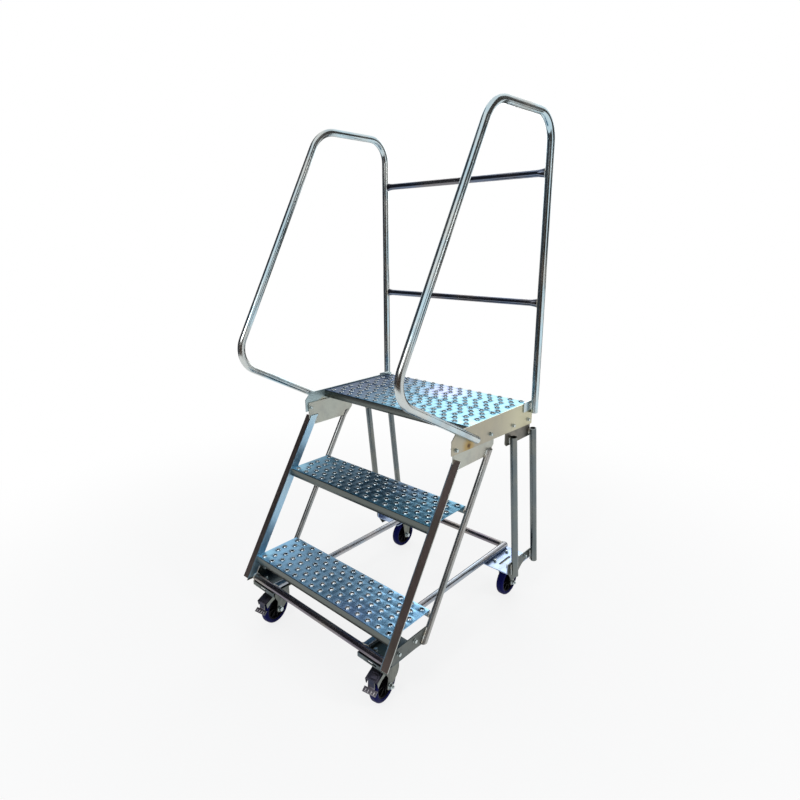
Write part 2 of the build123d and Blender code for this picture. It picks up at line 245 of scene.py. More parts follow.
# %% Zinc finish
def zinc(name, cool, warm, dark, streak, roughness=0.3, cloud=9.0):
    """Two tones clouded together, darkened in streaks drawn out along one axis.

    streak is the scale along X, Y and Z: a small number draws the pattern out."""
    f = Finish(name, Metallic=1.0)
    clouds = f.noise(cloud, detail=5.0).ramp(0.35, 0.65)
    streaks = f.noise(60.0, detail=3.0, place=f.stretch(streak)).ramp(0.45, 0.75)
    spots = f.noise(260.0, detail=2.0).ramp(0.6, 0.8)
    tone = f.mix(clouds, cool, warm)
    tone = f.mix(streaks * 0.55, tone, dark)
    tone = f.mix(spots * 0.25, tone, dark)
    rough = roughness + 0.12 * clouds + 0.1 * spots
    grain = f.noise(900.0, detail=2.0, place=f.stretch(streak))
    return f.paint(Base_Color=tone, Roughness=rough, Normal=f.bump(grain, 0.0002, 0.1))


finishes = {
    "rail": zinc("rail_zinc", (0.50, 0.67, 0.75), (0.62, 0.65, 0.63), (0.30, 0.34, 0.36), (1, 0.2, 0.1), 0.12),
    "cross": zinc("cross_rail_zinc", (0.15, 0.19, 0.27), (0.22, 0.21, 0.22), (0.05, 0.05, 0.07),
                  (0.1, 1, 1), 0.14),
    "leg": zinc("leg_zinc", (0.15, 0.18, 0.19), (0.22, 0.23, 0.21), (0.10, 0.12, 0.13), (1, 0.3, 0.1), 0.22),
    "stringer": zinc("stringer_zinc", (0.36, 0.39, 0.39), (0.44, 0.43, 0.41), (0.24, 0.25, 0.26),
                     (1, 0.3, 0.15), 0.34),
    "side_tube": zinc("side_tube_zinc", (0.32, 0.39, 0.46), (0.44, 0.43, 0.44), (0.16, 0.17, 0.20),
                      (1, 0.15, 1), 0.18),
    "cross_tube": zinc("cross_tube_zinc", (0.20, 0.18, 0.22), (0.28, 0.26, 0.24), (0.09, 0.08, 0.09),
                       (0.15, 1, 1), 0.2),
    "gusset": zinc("gusset_zinc", (0.46, 0.49, 0.44), (0.53, 0.53, 0.47), (0.36, 0.38, 0.36), (1, 0.5, 0.5), 0.38),
    "dull_plate": zinc("dull_plate_zinc", (0.12, 0.14, 0.14), (0.17, 0.18, 0.165), (0.07, 0.08, 0.08),
                       (1, 0.5, 0.5), 0.35),
    "lug": zinc("lug_zinc", (0.22, 0.22, 0.20), (0.28, 0.26, 0.22), (0.14, 0.14, 0.13), (1, 0.5, 0.5), 0.36),
    "front_mount": zinc("front_mount_zinc", (0.09, 0.12, 0.14), (0.15, 0.16, 0.13), (0.03, 0.05, 0.07),
                        (1, 0.3, 1), 0.3),
    "rear_mount": zinc("rear_mount_zinc", (0.30, 0.40, 0.62), (0.46, 0.56, 0.70), (0.18, 0.22, 0.36),
                       (1, 0.3, 1), 0.28),
    "castor": zinc("castor_zinc", (0.11, 0.125, 0.12), (0.19, 0.20, 0.17), (0.04, 0.045, 0.045),
                   (1, 1, 0.4), 0.3),
    "bolt": zinc("bolt_zinc", (0.50, 0.60, 0.62), (0.66, 0.70, 0.68), (0.2, 0.24, 0.26), (1, 1, 1), 0.22),
}
finishes["weld"] = zinc("weld_zinc", (0.80, 0.86, 0.87), (0.72, 0.68, 0.58), (0.36, 0.33, 0.28), (1, 1, 1), 0.5,
                        cloud=60.0)
finishes["rib"] = zinc("rib_zinc", (0.50, 0.49, 0.54), (0.66, 0.64, 0.66), (0.3, 0.3, 0.34), (1, 1, 1), 0.28)
dress(["handrail"], finishes["rail"])
dress(["guard", "knee"], finishes["cross"])
dress(["rear_leg"], finishes["leg"])
dress(["rear_stringer"], finishes["stringer"])
dress(["base_side_tube"], finishes["side_tube"])
dress(["front_cross", "rear_cross"], finishes["cross_tube"])

# %% [markdown]
# ## Tinted sheets
#
# On the large flat sheets the tone runs from dark steel blue to pale cyan
# along X, a painted reflection, with a painted bright reflection patch in one
# place and a breath of lavender in another. The collars' crests carry a painted
# highlight, dirt and painted shade darken the holes, and the folded edges are a
# painted darker olive shade: these three marks are stored on the mesh's points,
# so that the finish can find them.

# %% Sheet finish
def tinted(name, dark, pale, darkest, start, end, cloud_at, violet, reflection_patch_at):
    """Painted reflection by the distance along X from the darkest line, a violet cloud and a painted bright
    reflection patch, then the three marks: painted crest highlight, dirt and painted shade, painted lip shade.
    """
    f = Finish(name, Metallic=1.0)
    along = f.node("ShaderNodeSeparateXYZ", {}, f.place, output="X")
    clouds = f.noise(5.0, detail=4.0)
    # Painted reflection: dark near the darkest line along X and paler away from it.
    painted_reflection = ((along - darkest).math("ABSOLUTE") + 0.16 * (clouds - 0.5)).ramp(start, end)
    tone = f.mix(painted_reflection, dark, pale)
    away = f.node("ShaderNodeVectorMath", {"operation": "DISTANCE"}, f.place, cloud_at, output="Value")
    cloud = 1 - (away + 0.08 * (clouds - 0.5)).ramp(0.02, 0.13)
    tone = f.mix(0.6 * cloud, tone, violet)
    # Painted reflection: a bright pale blue patch around one given point.
    away = f.node("ShaderNodeVectorMath", {"operation": "DISTANCE"}, f.place, reflection_patch_at, output="Value")
    cloud = 1 - (away + 0.03 * (clouds - 0.5)).ramp(0.02, 0.08)
    tone = f.mix(0.8 * cloud, tone, (0.34, 0.66, 0.84))
    brushed = f.noise(90.0, detail=3.0, place=f.stretch((0.06, 1, 1)))
    tone = f.mix(brushed.ramp(0.5, 0.8) * 0.18, tone, dark)
    crest_highlight, dirt_and_shade, folded = (f.node("ShaderNodeAttribute", {"attribute_name": mark}, output="Fac").clamp()
                          for mark in MARKS)
    # Painted shade: the folded lips are painted a darker olive.
    tone = f.mix(folded, tone, (0.135, 0.150, 0.140))
    # Painted highlight: the collars' crests are lightened to near white.
    tone = f.mix(crest_highlight, tone, (0.86, 0.95, 0.98))
    # Dirt and painted shade: hole walls, collar feet and undersides are darkened to near black; the dirt also raises
    # the roughness below.
    tone = f.mix(dirt_and_shade, tone, (0.014, 0.018, 0.020))
    rough = 0.26 + 0.1 * clouds + 0.3 * dirt_and_shade
    return f.paint(Base_Color=tone, Roughness=rough, Normal=f.bump(brushed, 0.0002, 0.1))


# Marks on the sheets' points: painted crest highlight, dirt and painted shade, painted shade of the folded lips.
MARKS = ("crest_highlight", "dirt_and_shade", "folded")
finishes["tread_bottom"] = tinted("low_tread_zinc", (0.150, 0.290, 0.43), (0.30, 0.60, 0.88), -0.06, 0.05, 0.32,
                                  (0.14, -0.34, 0.215), (0.18, 0.25, 0.50), (-0.285, -0.32, 0.215))
finishes["tread_middle"] = tinted("high_tread_zinc", (0.036, 0.125, 0.205), (0.13, 0.35, 0.50), -0.07, 0.06, 0.34,
                                  (0.10, 0.0, 0.463), (0.10, 0.15, 0.28), (-0.285, -0.17, 0.463))
finishes["platform"] = tinted("deck_zinc", (0.012, 0.060, 0.155), (0.155, 0.41, 0.56), -0.30, 0.06, 0.40,
                              (0.02, 0.24, 0.69), (0.42, 0.36, 0.66), (0.27, -0.01, 0.69))

# %% [markdown]
# ## Plates with heat tint, and the angle sections
#
# The plate beside the platform is a warmer grey. Towards its rear it is
# painted paler and yellower, a painted reflection, and where X is below 0.28 m,
# the whole left plate among it, it is painted bluer, another painted
# reflection. Where the handrail was welded to it the heat has burnt the zinc
# golden brown. The stiles are rolled angles: their front face is painted dark
# and the flange that turns back a lit blue, painted light and shade by the way
# each faces, and they are bright along the sheared edge. All three follow the
# distance across X, which Object coordinates give.

# %% Plate and stile finishes
HEAT_CENTRE = (0.293, -0.024, 0.641)
HEAT_REACH = 0.024
STILE_FLANGE = 0.2872
STILE_EDGE = 0.3084


def across(f):
    """Distance from the middle plane, so that left and right look alike."""
    return f.node("ShaderNodeSeparateXYZ", {}, f.place, output="X").math("ABSOLUTE")


def heat_plate(name):
    f = Finish(name, Metallic=1.0)
    both = f.node("ShaderNodeVectorMath", {"operation": "ABSOLUTE"}, f.node("ShaderNodeVectorMath",
                  {"operation": "MULTIPLY"}, f.place, (1, 0, 0)))
    rest = f.node("ShaderNodeVectorMath", {"operation": "MULTIPLY"}, f.place, (0, 1, 1))
    folded = f.node("ShaderNodeVectorMath", {"operation": "ADD"}, both, rest)
    away = f.node("ShaderNodeVectorMath", {"operation": "DISTANCE"}, folded, HEAT_CENTRE, output="Value")
    ragged = away / HEAT_REACH + 0.5 * (f.noise(90.0) - 0.5)
    clouds = f.noise(7.0, detail=5.0).ramp(0.35, 0.65)
    stains = f.noise(34.0, detail=4.0, place=f.stretch((1, 1, 0.4))).ramp(0.55, 0.75)
    tone = f.mix(clouds, (0.38, 0.36, 0.30), (0.50, 0.47, 0.36))
    # Painted reflection: the plate turns paler and yellower towards +Y.
    reflection_y = f.node("ShaderNodeSeparateXYZ", {}, f.place, output="Y")
    tone = f.mix(reflection_y.ramp(0.05, 0.28), tone, (0.62, 0.60, 0.43))
    # Painted reflection: where X is below 0.28 m, the whole left plate among it, the tone turns bluer.
    inner = f.node("ShaderNodeSeparateXYZ", {}, f.place, output="X").ramp(0.29, 0.28)
    tone = f.mix(inner * 0.85, tone, (0.42, 0.57, 0.62))
    tone = f.mix(stains * 0.3, tone, (0.30, 0.31, 0.29))
    tone = f.mix(1 - ragged.ramp(0.35, 1.5), tone, (0.42, 0.30, 0.12))
    tone = f.mix(1 - ragged.ramp(0.1, 0.5), tone, (0.12, 0.07, 0.03))
    return f.paint(Base_Color=tone, Roughness=0.36 + 0.12 * clouds)


def angle_section(name):
    f = Finish(name, Metallic=1.0)
    clouds = f.noise(8.0, detail=5.0).ramp(0.35, 0.65)
    drawn = f.noise(70.0, detail=3.0, place=f.stretch((1, 0.25, 0.12))).ramp(0.5, 0.8)
    # Painted shade and light: the front face is painted dark brown and the flange that turns back a lit pale blue, by
    # the way each faces.
    face = f.mix(clouds, (0.36, 0.31, 0.27), (0.46, 0.36, 0.33))
    face = f.mix(drawn * 0.4, face, (0.22, 0.22, 0.19))
    lit_flange = f.mix(clouds, (0.36, 0.58, 0.76), (0.48, 0.66, 0.76))
    tone = f.mix(across(f).ramp(STILE_FLANGE - 0.0003, STILE_FLANGE + 0.0003), lit_flange, face)
    tone = f.mix(across(f).ramp(STILE_EDGE - 0.0004, STILE_EDGE + 0.0004), tone, (0.55, 0.58, 0.56))
    return f.paint(Base_Color=tone, Roughness=0.34 + 0.1 * drawn)


def pedal_pressing(name):
    """Dark on the cover, painted lighter on its flanks as painted light from the way they face, and mauve grey on the
    toe below.
    """
    f = Finish(name, Metallic=1.0)
    clouds = f.noise(30.0, detail=5.0).ramp(0.35, 0.65)
    lit_flank = f.node("ShaderNodeAttribute", {"attribute_name": "lit_flank"}, output="Fac").clamp()
    height = f.node("ShaderNodeSeparateXYZ", {}, f.place, output="Z")
    cover = f.mix(clouds, (0.035, 0.042, 0.070), (0.085, 0.080, 0.105))
    tone = f.mix(height.ramp(TOE_TOP - 0.002, TOE_TOP + 0.002), (0.25, 0.235, 0.27), cover)
    # Painted light: the flanks are painted a lighter grey.
    tone = f.mix(lit_flank, tone, (0.20, 0.22, 0.20))
    return f.paint(Base_Color=tone, Roughness=0.3 + 0.1 * clouds)


TOE_TOP = 0.076
finishes["pedal"] = pedal_pressing("pedal_zinc")
finishes["plate"] = heat_plate("plate_zinc")
finishes["stile"] = angle_section("stile_zinc")

# %% [markdown]
# ## Rubber and moulded plastic
#
# The tread is a dark navy elastic compound and the hub is black moulded
# plastic. Both gather a little pale dust, which is a soft noise over the tone.

# %% Rubber and moulded hub
def elastic(name, tone, dusty):
    f = Finish(name, Specular_IOR_Level=0.06)
    dust = f.noise(40.0, detail=6.0).ramp(0.5, 0.8)
    grain = f.noise(700.0, detail=2.0)
    return f.paint(Base_Color=f.mix(dust * 0.35, tone, dusty), Roughness=0.42 + 0.2 * dust,
                   Normal=f.bump(grain, 0.0002, 0.3))


finishes["tyre"] = elastic("tyre_blue", (0.003, 0.004, 0.070), (0.010, 0.014, 0.08))
finishes["hub"] = elastic("hub_black", (0.003, 0.003, 0.004), (0.012, 0.012, 0.014))
dress(["front_tyre", "rear_tyre"], finishes["tyre"])
dress(["front_hub", "rear_hub"], finishes["hub"])

# %% [markdown]
# ## Surfaces from grids of points
#
# Every added piece is a grid of points worked out by numpy, because a formula
# for a collar, a bead or a bolt is shorter and truer than pushing vertices
# about. The helpers below work in millimetres, join grids that share edges
# and only turn to metres when the mesh is made.

# %% Grids, joins and pieces
WELD = 0.002


def surface(rows, closed=False):
    """Points and four-sided faces of a grid rows[i][j]; closed joins the last column to the first.

    The faces look up where rows run along +Y and columns along +X."""
    count, width = rows.shape[:2]
    index = np.arange(count * width).reshape(count, width)
    if closed:
        index = np.hstack([index, index[:, :1]])
    faces = np.stack([index[:-1, :-1], index[:-1, 1:], index[1:, 1:], index[1:, :-1]], -1)
    return rows.reshape(-1, 3), faces.reshape(-1, 4)


def joined(parts):
    """Several surfaces as one, with the points of their shared edges welded.

    A surface may carry three marks per point: its painted crest highlight, its dirt and painted shade, and its
    painted lip shade where it is folded."""
    offsets = np.cumsum([0] + [len(part[0]) for part in parts[:-1]])
    points = np.vstack([part[0] for part in parts])
    marks = np.vstack([part[2] if len(part) > 2 else np.zeros((len(part[0]), 3)) for part in parts])
    key = np.round(points / WELD).astype(np.int64)
    _, first, index = np.unique(key, axis=0, return_index=True, return_inverse=True)
    index = index.reshape(-1)
    faces = [list(dict.fromkeys(face)) for part, offset in zip(parts, offsets)
             for face in index[part[1] + offset].tolist()]
    return points[first], [face for face in faces if len(face) > 2], marks[first]


def crisp(mesh, degrees=38):
    """Smooth shading that stays sharp where two faces meet at more than an angle."""
    mesh.polygons.foreach_set("use_smooth", np.ones(len(mesh.polygons), bool))
    mesh.set_sharp_from_angle(angle=math.radians(degrees))


def piece(name, parts, material, body, replaced=(), degrees=38):
    """A finished object from surfaces in millimetres, riding on a body of the frame."""
    points, faces, marks = joined(parts)
    mesh = bpy.data.meshes.new(name)
    mesh.from_pydata((points * MM).tolist(), [], faces)
    for column, mark in enumerate(MARKS):
        if marks[:, column].any():
            mesh.attributes.new(mark, "FLOAT", "POINT").data.foreach_set("value", marks[:, column].copy())
    mesh.materials.append(material)
    crisp(mesh, degrees)
    made = bpy.data.objects.new(name, mesh)
    bpy.context.scene.collection.objects.link(made)
    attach(made, body)
    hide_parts(*replaced)
    print(name, "faces:", len(faces))
    return made


def corners(node):
    """The lowest and highest corner of a CAD node, in millimetres."""
    return tuple(np.array(corner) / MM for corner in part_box(node))


def placed(part, centre, axis):
    """A surface made along the X axis, turned to another axis and moved to its centre."""
    points, faces = part[:2]
    turn = np.array(Vector((1, 0, 0)).rotation_difference(Vector(axis)).to_matrix())
    return points @ turn.T + np.array(centre), faces

# %% [markdown]
# ## Dimpled sheets
#
# The treads and planks are punched from below: each dimple is a hole whose
# rim is drawn up into a sharp collar that grips a shoe. A displacement map
# would leave the rims blurred, and cutting hundreds of holes with booleans is
# slow and leaves bad faces. So the sheet is laid out in cells. Each cell is a
# set of rings that runs from its square edge up the collar, down through the
# hole and out again below, and all cells share one ladder of lines across.

# %% Layout of the dimples
SHEET = 2.5
DIMPLE_PITCH = 37.8
LADDER = DIMPLE_PITCH / 8
LADDER_START = 3.0
ROW_PITCH = 25.7
FIRST_ROW = 13.8
ROW_LINES = 7
STAGGERED_ROWS = (1, 4)
COLLAR = [(9.0, 0.0), (8.3, 0.3), (7.5, 1.1), (6.9, 2.1), (6.4, 2.85), (5.9, 3.1), (5.5, 2.9),
          (5.1, 2.2), (4.9, 0.4), (5.1, -1.4), (5.8, -2.3), (6.8, -SHEET)]
# Painted highlight per ring of the collar, strongest at the crest.
COLLAR_HIGHLIGHT = [0, 0, 0.0, 0.2, 0.7, 1, 1, 0.7, 0, 0, 0, 0, 0, 0]
# Dirt and painted shade per ring: light at the collar's foot, strongest in the hole, partial under the sheet.
COLLAR_DIRT_AND_SHADE = [0, 0.1, 0.2, 0.1, 0, 0, 0, 0, 0.8, 1, 1, 0.8, 0.5, 0.4]
EDGE_MARGIN = 1.0


def ring_grid(edge, centre):
    """Rings from a cell's edge over the collar and through the hole: point = centre + r(cos a, sin a).

    The angle a of each point is that of the edge point it starts from."""
    angle = np.arctan2(edge[:, 1] - centre[1], edge[:, 0] - centre[0])
    circle = [np.c_[centre[0] + r * np.cos(angle), centre[1] + r * np.sin(angle), np.full(len(edge), z)]
              for r, z in COLLAR]
    top = np.c_[edge, np.zeros(len(edge))]
    marks = np.repeat(np.c_[COLLAR_HIGHLIGHT, COLLAR_DIRT_AND_SHADE, np.zeros(len(COLLAR_HIGHLIGHT))], len(edge), 0)
    return *surface(np.array([top, *circle, top - (0, 0, SHEET)]), closed=True), marks


def level_grid(xs, ys):
    """The upper and lower skin of a plain stretch of sheet between two sets of lines."""
    x, y = np.meshgrid(xs, ys)
    top = np.stack([x, y, np.zeros_like(x)], -1)
    return [surface(top), surface((top - (0, 0, SHEET))[::-1])]


def row_of_dimples(xs, ys, centre_y, shift, reach):
    """One row: plain stretches at its ends and a cell around each dimple between them."""
    parts = []
    first = int(np.argmin(np.abs(xs - (LADDER_START + shift)))) % 8
    middles = [m for m in range(first, len(xs) - 1, 8) if m >= 4 and xs[m] < reach]
    start = middles[0] - 4
    parts += level_grid(xs[:start + 1], ys) if start else []
    for m in middles:
        low, high = m - 4, min(m + 4, len(xs) - 1)
        across, along = xs[low:high + 1], ys
        edge = np.vstack([np.c_[across[:-1], np.full(len(across) - 1, along[0])],
                          np.c_[np.full(len(along) - 1, across[-1]), along[:-1]],
                          np.c_[across[:0:-1], np.full(len(across) - 1, along[-1])],
                          np.c_[np.full(len(along) - 1, across[0]), along[:0:-1]]])
        parts.append(ring_grid(edge, (xs[m], centre_y)))
    if high < len(xs) - 1:
        parts += level_grid(xs[high:], ys)
    return parts

# %% [markdown]
# The long edges are folded down. The fold is the same at both edges, so one
# profile is drawn along all the ladder's lines and mirrored for the rear.

# %% Folded edges and whole sheets
def fold(depth, lip, rear):
    """Profile of a folded edge as (y, z): round the bend, down, under the lip and up inside."""
    bend = np.linspace(0, math.pi / 2, 6)
    arc = np.c_[SHEET - SHEET * np.sin(bend), SHEET * np.cos(bend) - SHEET]
    line = np.vstack([arc, [(0, -0.5 * lip), (0, 0.4 - lip), (0.4, -lip), (SHEET - 0.4, -lip),
                            (SHEET, 0.4 - lip), (SHEET, -SHEET)]])
    if rear:
        line = line * (-1, 1) + (depth, 0)
    return line


def dimpled_sheet(node):
    """A tread or plank with its dimples, folded edges and closed ends, in place of its plain node."""
    low, high = corners(node)
    depth, lip, reach = high[1] - low[1], high[2] - low[2], high[0]
    count = int(reach // LADDER) + 1
    xs = LADDER_START + LADDER * np.arange(-2 * count, 2 * count)
    xs = np.r_[-reach, xs[np.abs(xs) < reach - EDGE_MARGIN], reach]
    centres = FIRST_ROW + ROW_PITCH * np.arange(6)
    lines = np.r_[SHEET, (centres[1:] + centres[:-1]) / 2, depth - SHEET]
    parts = []
    y_lines = []
    for k, centre_y in enumerate(centres):
        ys = np.linspace(lines[k], lines[k + 1], ROW_LINES)
        y_lines.append(ys)
        shift = DIMPLE_PITCH / 2 if k in STAGGERED_ROWS else 0
        parts += row_of_dimples(xs, ys, centre_y, shift, reach - 2 * LADDER)
    ys = np.unique(np.concatenate(y_lines))
    for rear in (False, True):
        line = fold(depth, lip, rear)
        rows = np.array([np.c_[xs, np.full(len(xs), y), np.full(len(xs), z)] for y, z in line])
        # The hanging part of each fold is marked for the painted darker lip shade.
        hang = np.clip(-line[:, 1] / SHEET, 0, 1)
        marks = np.repeat(np.c_[0 * hang, 0 * hang, hang], len(xs), 0)
        parts.append((*surface(rows if rear else rows[::-1]), marks if rear else marks[::-1]))
        for side in (-1, 1):
            cap = np.c_[np.full(len(line), side * reach), line]
            order = np.arange(len(line)) if (side > 0) != rear else np.arange(len(line))[::-1]
            parts.append((cap, order[None, :]))
    for side in (-1, 1):
        rim = np.c_[np.full(len(ys), side * reach), ys, np.zeros(len(ys))]
        strip = np.array([rim, rim - (0, 0, SHEET)])
        parts.append(surface(strip if side < 0 else strip[::-1]))
    moved = [(part[0] + (0, low[1], high[2]), *part[1:]) for part in parts]
    finish = finishes["platform" if node.startswith("platform") else node]
    return piece(node + "_dimpled", moved, finish, "frame", [node], degrees=50)


for node in ("tread_bottom", "tread_middle", "platform_plank_front", "platform_plank_rear"):
    dimpled_sheet(node)

# %% [markdown]
# ## Softened plates and pressings
#
# A sheared plate or a pressed fork has no knife edges, and it is the narrow
# rounded edge that catches the light. The CAD node's mesh is loose triangles,
# so a copy of it is merged and its flat faces are joined before the Bevel
# modifier rounds what is left of the sharp edges.

# %% Rounded copies of CAD nodes
joint_axes = {joint["child"]: joint["axis"] for joint in frame["joints"]}


def softened(names, material, width):
    for node in sorted(n for n in nodes if n.startswith(tuple(names))):
        mesh = nodes[node].data.copy()
        mesh.name = node + "_soft"
        shape = bmesh.new()
        shape.from_mesh(mesh)
        bmesh.ops.remove_doubles(shape, verts=shape.verts, dist=0.02 * MM)
        bmesh.ops.dissolve_limit(shape, angle_limit=math.radians(1.5), verts=shape.verts, edges=shape.edges)
        shape.to_mesh(mesh)
        shape.free()
        # Faces turned along the wheel's axle are the flanks, marked to be painted lighter as painted light.
        if node.startswith("brake_pedal"):
            normals = np.array([face.normal[:] for face in mesh.polygons])
            lit_flank = np.abs(normals @ np.array(joint_axes["front_wheel_right"])) > 0.8
            mesh.attributes.new("lit_flank", "FLOAT", "FACE").data.foreach_set("value", lit_flank.astype(float))
        mesh.materials.clear()
        mesh.materials.append(material)
        crisp(mesh, 30)
        made = bpy.data.objects.new(node + "_soft", mesh)
        bpy.context.scene.collection.objects.link(made)
        bevel = made.modifiers.new("edge", "BEVEL")
        bevel.width = width * MM
        bevel.segments = 2
        bevel.limit_method = "ANGLE"
        bevel.angle_limit = math.radians(40)
        bevel.harden_normals = True
        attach(made, body_of(nodes[node])[0])
        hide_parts(node)
    print("softened", names)


softened(["side_plate"], finishes["plate"], 0.5)
softened(["gusset"], finishes["gusset"], 0.5)
softened(["leg_lug"], finishes["lug"], 0.5)
softened(["leg_foot", "base_side_plate"], finishes["dull_plate"], 0.5)
softened(["front_mount"], finishes["front_mount"], 0.5)
softened(["rear_mount"], finishes["rear_mount"], 0.5)
softened(["fork", "rear_housing", "swivel"], finishes["castor"], 0.5)
softened(["brake_pedal"], finishes["pedal"], 0.5)
softened(["front_stile"], finishes["stile"], 0.6)

# %% [markdown]
# ## Tyres and hubs
#
# The castor wheels have a navy elastic tread bonded to a black moulded hub.
# Both are round about the axle, so each is a profile turned about it, and the
# hub gets its ribs as small blocks between the barrel and the rim.

# %% Turned wheels
AROUND = 96
TYRE_HALF = 12.5
TYRE_INNER = 38.0
TYRE_OUTER = 50.0
TYRE_SHOULDER = 8.0


def lathe(profile, count=AROUND):
    """A profile of (along, radius) turned about the X axis: y = r cos a, z = r sin a."""
    line = np.array(profile, float)
    angle = np.linspace(0, 2 * math.pi, count, endpoint=False)
    x = np.repeat(line[:, :1], count, 1)
    y = line[:, 1:] * np.cos(angle)
    z = line[:, 1:] * np.sin(angle)
    return surface(np.stack([x, y, z], -1), closed=True)


def tyre_profile(half, inner, outer, shoulder):
    """Closed profile: stepped side wall, round shoulder and a flat tread between the shoulders."""
    turn = np.linspace(math.pi, math.pi / 2, 10)
    arc = np.c_[shoulder - half + shoulder * np.cos(turn), outer - shoulder + shoulder * np.sin(turn)]
    wall = np.array([(2.0 - half, inner), (1.1 - half, inner + 0.6), (0.8 - half, inner + 2.4),
                     (1.2 - half, inner + 2.9), (1.2 - half, inner + 3.5), (0.2 - half, inner + 4.2)])
    side = np.vstack([wall, arc])
    return np.vstack([side, side[::-1] * (-1, 1), side[:1]])


def hub_profile(half, barrel, rim_low, rim_high, length):
    """Closed profile of the hub: rim with a lip, thin web and a stepped barrel."""
    side = [(-half, rim_high), (-half - 0.8, rim_high - 0.8), (-half - 0.8, rim_low + 0.4), (-half, rim_low),
            (-2.8, rim_low - 1.6), (-2.8, barrel + 2.2), (-9.5, barrel + 0.6), (-length + 0.5, barrel),
            (-length, barrel - 0.6), (-length, 5.2)]
    side = np.array(side)[::-1]
    return np.vstack([side, side[::-1] * (-1, 1), side[:1]])


def rib(angle, side, low, high, thickness):
    """A tapered block from the barrel to the rim, on one face of the web."""
    points = np.array([(side * x, thickness / 2 * w, r) for r, x in ((low, 9.0), (high, 7.0))
                       for x in (2.0, x) for w in (-1, 1)])
    turn = np.array([[1, 0, 0], [0, math.cos(angle), -math.sin(angle)], [0, math.sin(angle), math.cos(angle)]])
    faces = np.array([(0, 1, 3, 2), (4, 6, 7, 5), (0, 4, 5, 1), (2, 3, 7, 6), (1, 5, 7, 3), (0, 2, 6, 4)])
    return points @ turn.T, faces if side > 0 else faces[:, ::-1]


def wheel(place, side):
    """Tyre and hub of one castor, about the axle between the middles of its wheel's two faces."""
    body = place + "_wheel_" + side
    tyre, hub, axle = (place + "_" + part + "_" + side for part in ("tyre", "hub", "axle"))
    low, high = corners(tyre)
    centre = (low + high) / 2
    axis = WHEEL_AXES[place]
    turned = [placed(lathe(tyre_profile(TYRE_HALF, TYRE_INNER, TYRE_OUTER, TYRE_SHOULDER)), centre, axis)]
    piece(tyre + "_turned", turned, finishes["tyre"], body, [tyre], degrees=32)
    parts = [placed(lathe(hub_profile(8.5, 12.0, 34.0, TYRE_INNER + 0.1, 19.2), 72), centre, axis)]
    for k in range(16):
        parts.append(placed(rib(k * math.pi / 4, 1 if k < 8 else -1, 11.5, 34.5, 2.4), centre, axis))
    piece(hub + "_turned", parts, finishes["hub"], body, [hub], degrees=32)


WHEEL_AXES = {place: joint_axes[place + "_wheel_right"] for place in ("front", "rear")}
for place in ("front", "rear"):
    for side in ("right", "left"):
        wheel(place, side)

# %% [markdown]
# ## Bolts
#
# Plated hexagon bolts hold the plates and castors. A hexagon head is a
# formula too: its radius swings between the flat and the corner around the
# axis, and the corners are cut back at 30 degrees as on a machined bolt.

# %% Hexagon bolts with washers
HEX_COUNT = 36


def hexagon(flat, height, start=0.0):
    """A bolt head or nut along X. Radius: flat / 2 / cos of the angle from the nearest flat's middle."""
    angle = np.linspace(0, 2 * math.pi, HEX_COUNT, endpoint=False)
    radius = flat / 2 / np.cos((angle + math.pi / 6) % (math.pi / 3) - math.pi / 6)
    cut = (radius - 0.94 * flat / 2) * math.tan(math.radians(30))
    rows = [(0 * radius, start + 0 * radius), (radius, start + 0 * radius), (radius, start + height - cut),
            (0.94 * flat / 2 + 0 * radius, start + height + 0 * radius), (0 * radius, start + height + 0 * radius)]
    grid = np.array([np.c_[x, r * np.cos(angle), r * np.sin(angle)] for r, x in rows])
    return surface(grid, closed=True)


def washer(radius, thickness):
    return lathe([(0, 0), (0, radius), (thickness * 0.7, radius), (thickness, radius - 0.3), (thickness, 0)], 36)


def bolt(centre, axis, flat=9.0, thread=0.0):
    """Washer and head, and past the head a threaded end where thread gives its length."""
    parts = [washer(flat * 0.64, 1.2), hexagon(flat, flat * 0.6, 1.1)]
    if thread:
        radius = flat * 0.29
        turns = np.arange(0, thread, 0.5)
        ridge = radius - 0.25 * (np.arange(len(turns)) % 2)
        start = 1.3 + flat * 0.6
        line = [(start, 0), *np.c_[start + turns, ridge], (start + thread, radius * 0.7), (start + thread, 0)]
        parts.append(lathe(line, 18))
    return [placed(part, centre, axis) for part in parts]


def mirrored_bolts(places, axis, **how):
    """The same bolt at each place and at its mirror image across the width."""
    parts = []
    for x, y, z in places:
        for side in (1, -1):
            parts += bolt((side * x, y, z), (side * axis[0], axis[1], axis[2]), **how)
    return parts


plate_face = corners("side_plate_right")[1][0]
plate_back = corners("side_plate_right")[0][0]
gusset_back = corners("gusset_right")[0][0]
foot_face = corners("leg_foot_plate_right")[1][0]
foot_back = corners("leg_foot_plate_right")[0][0]
SIDE_BOLTS = [(284.2, 639.0), (198.2, 641.0), (79.2, 646.0), (-80.8, 644.0)]
LOW_BOLTS = [(-237.8, 163.0), (-299.8, 161.0), (323.2, 155.0)]
outside = [(plate_face, y, z) for y, z in SIDE_BOLTS] + [(foot_face, y, z) for y, z in LOW_BOLTS]
inside = [(gusset_back if y < 100 else plate_back, y, z) for y, z in SIDE_BOLTS] + [(foot_back, y, z) for y, z in LOW_BOLTS]
piece("plate_bolts", mirrored_bolts(outside, (1, 0, 0)), finishes["bolt"], "frame")
piece("plate_nuts", mirrored_bolts(inside, (-1, 0, 0), thread=3.0), finishes["bolt"], "frame")

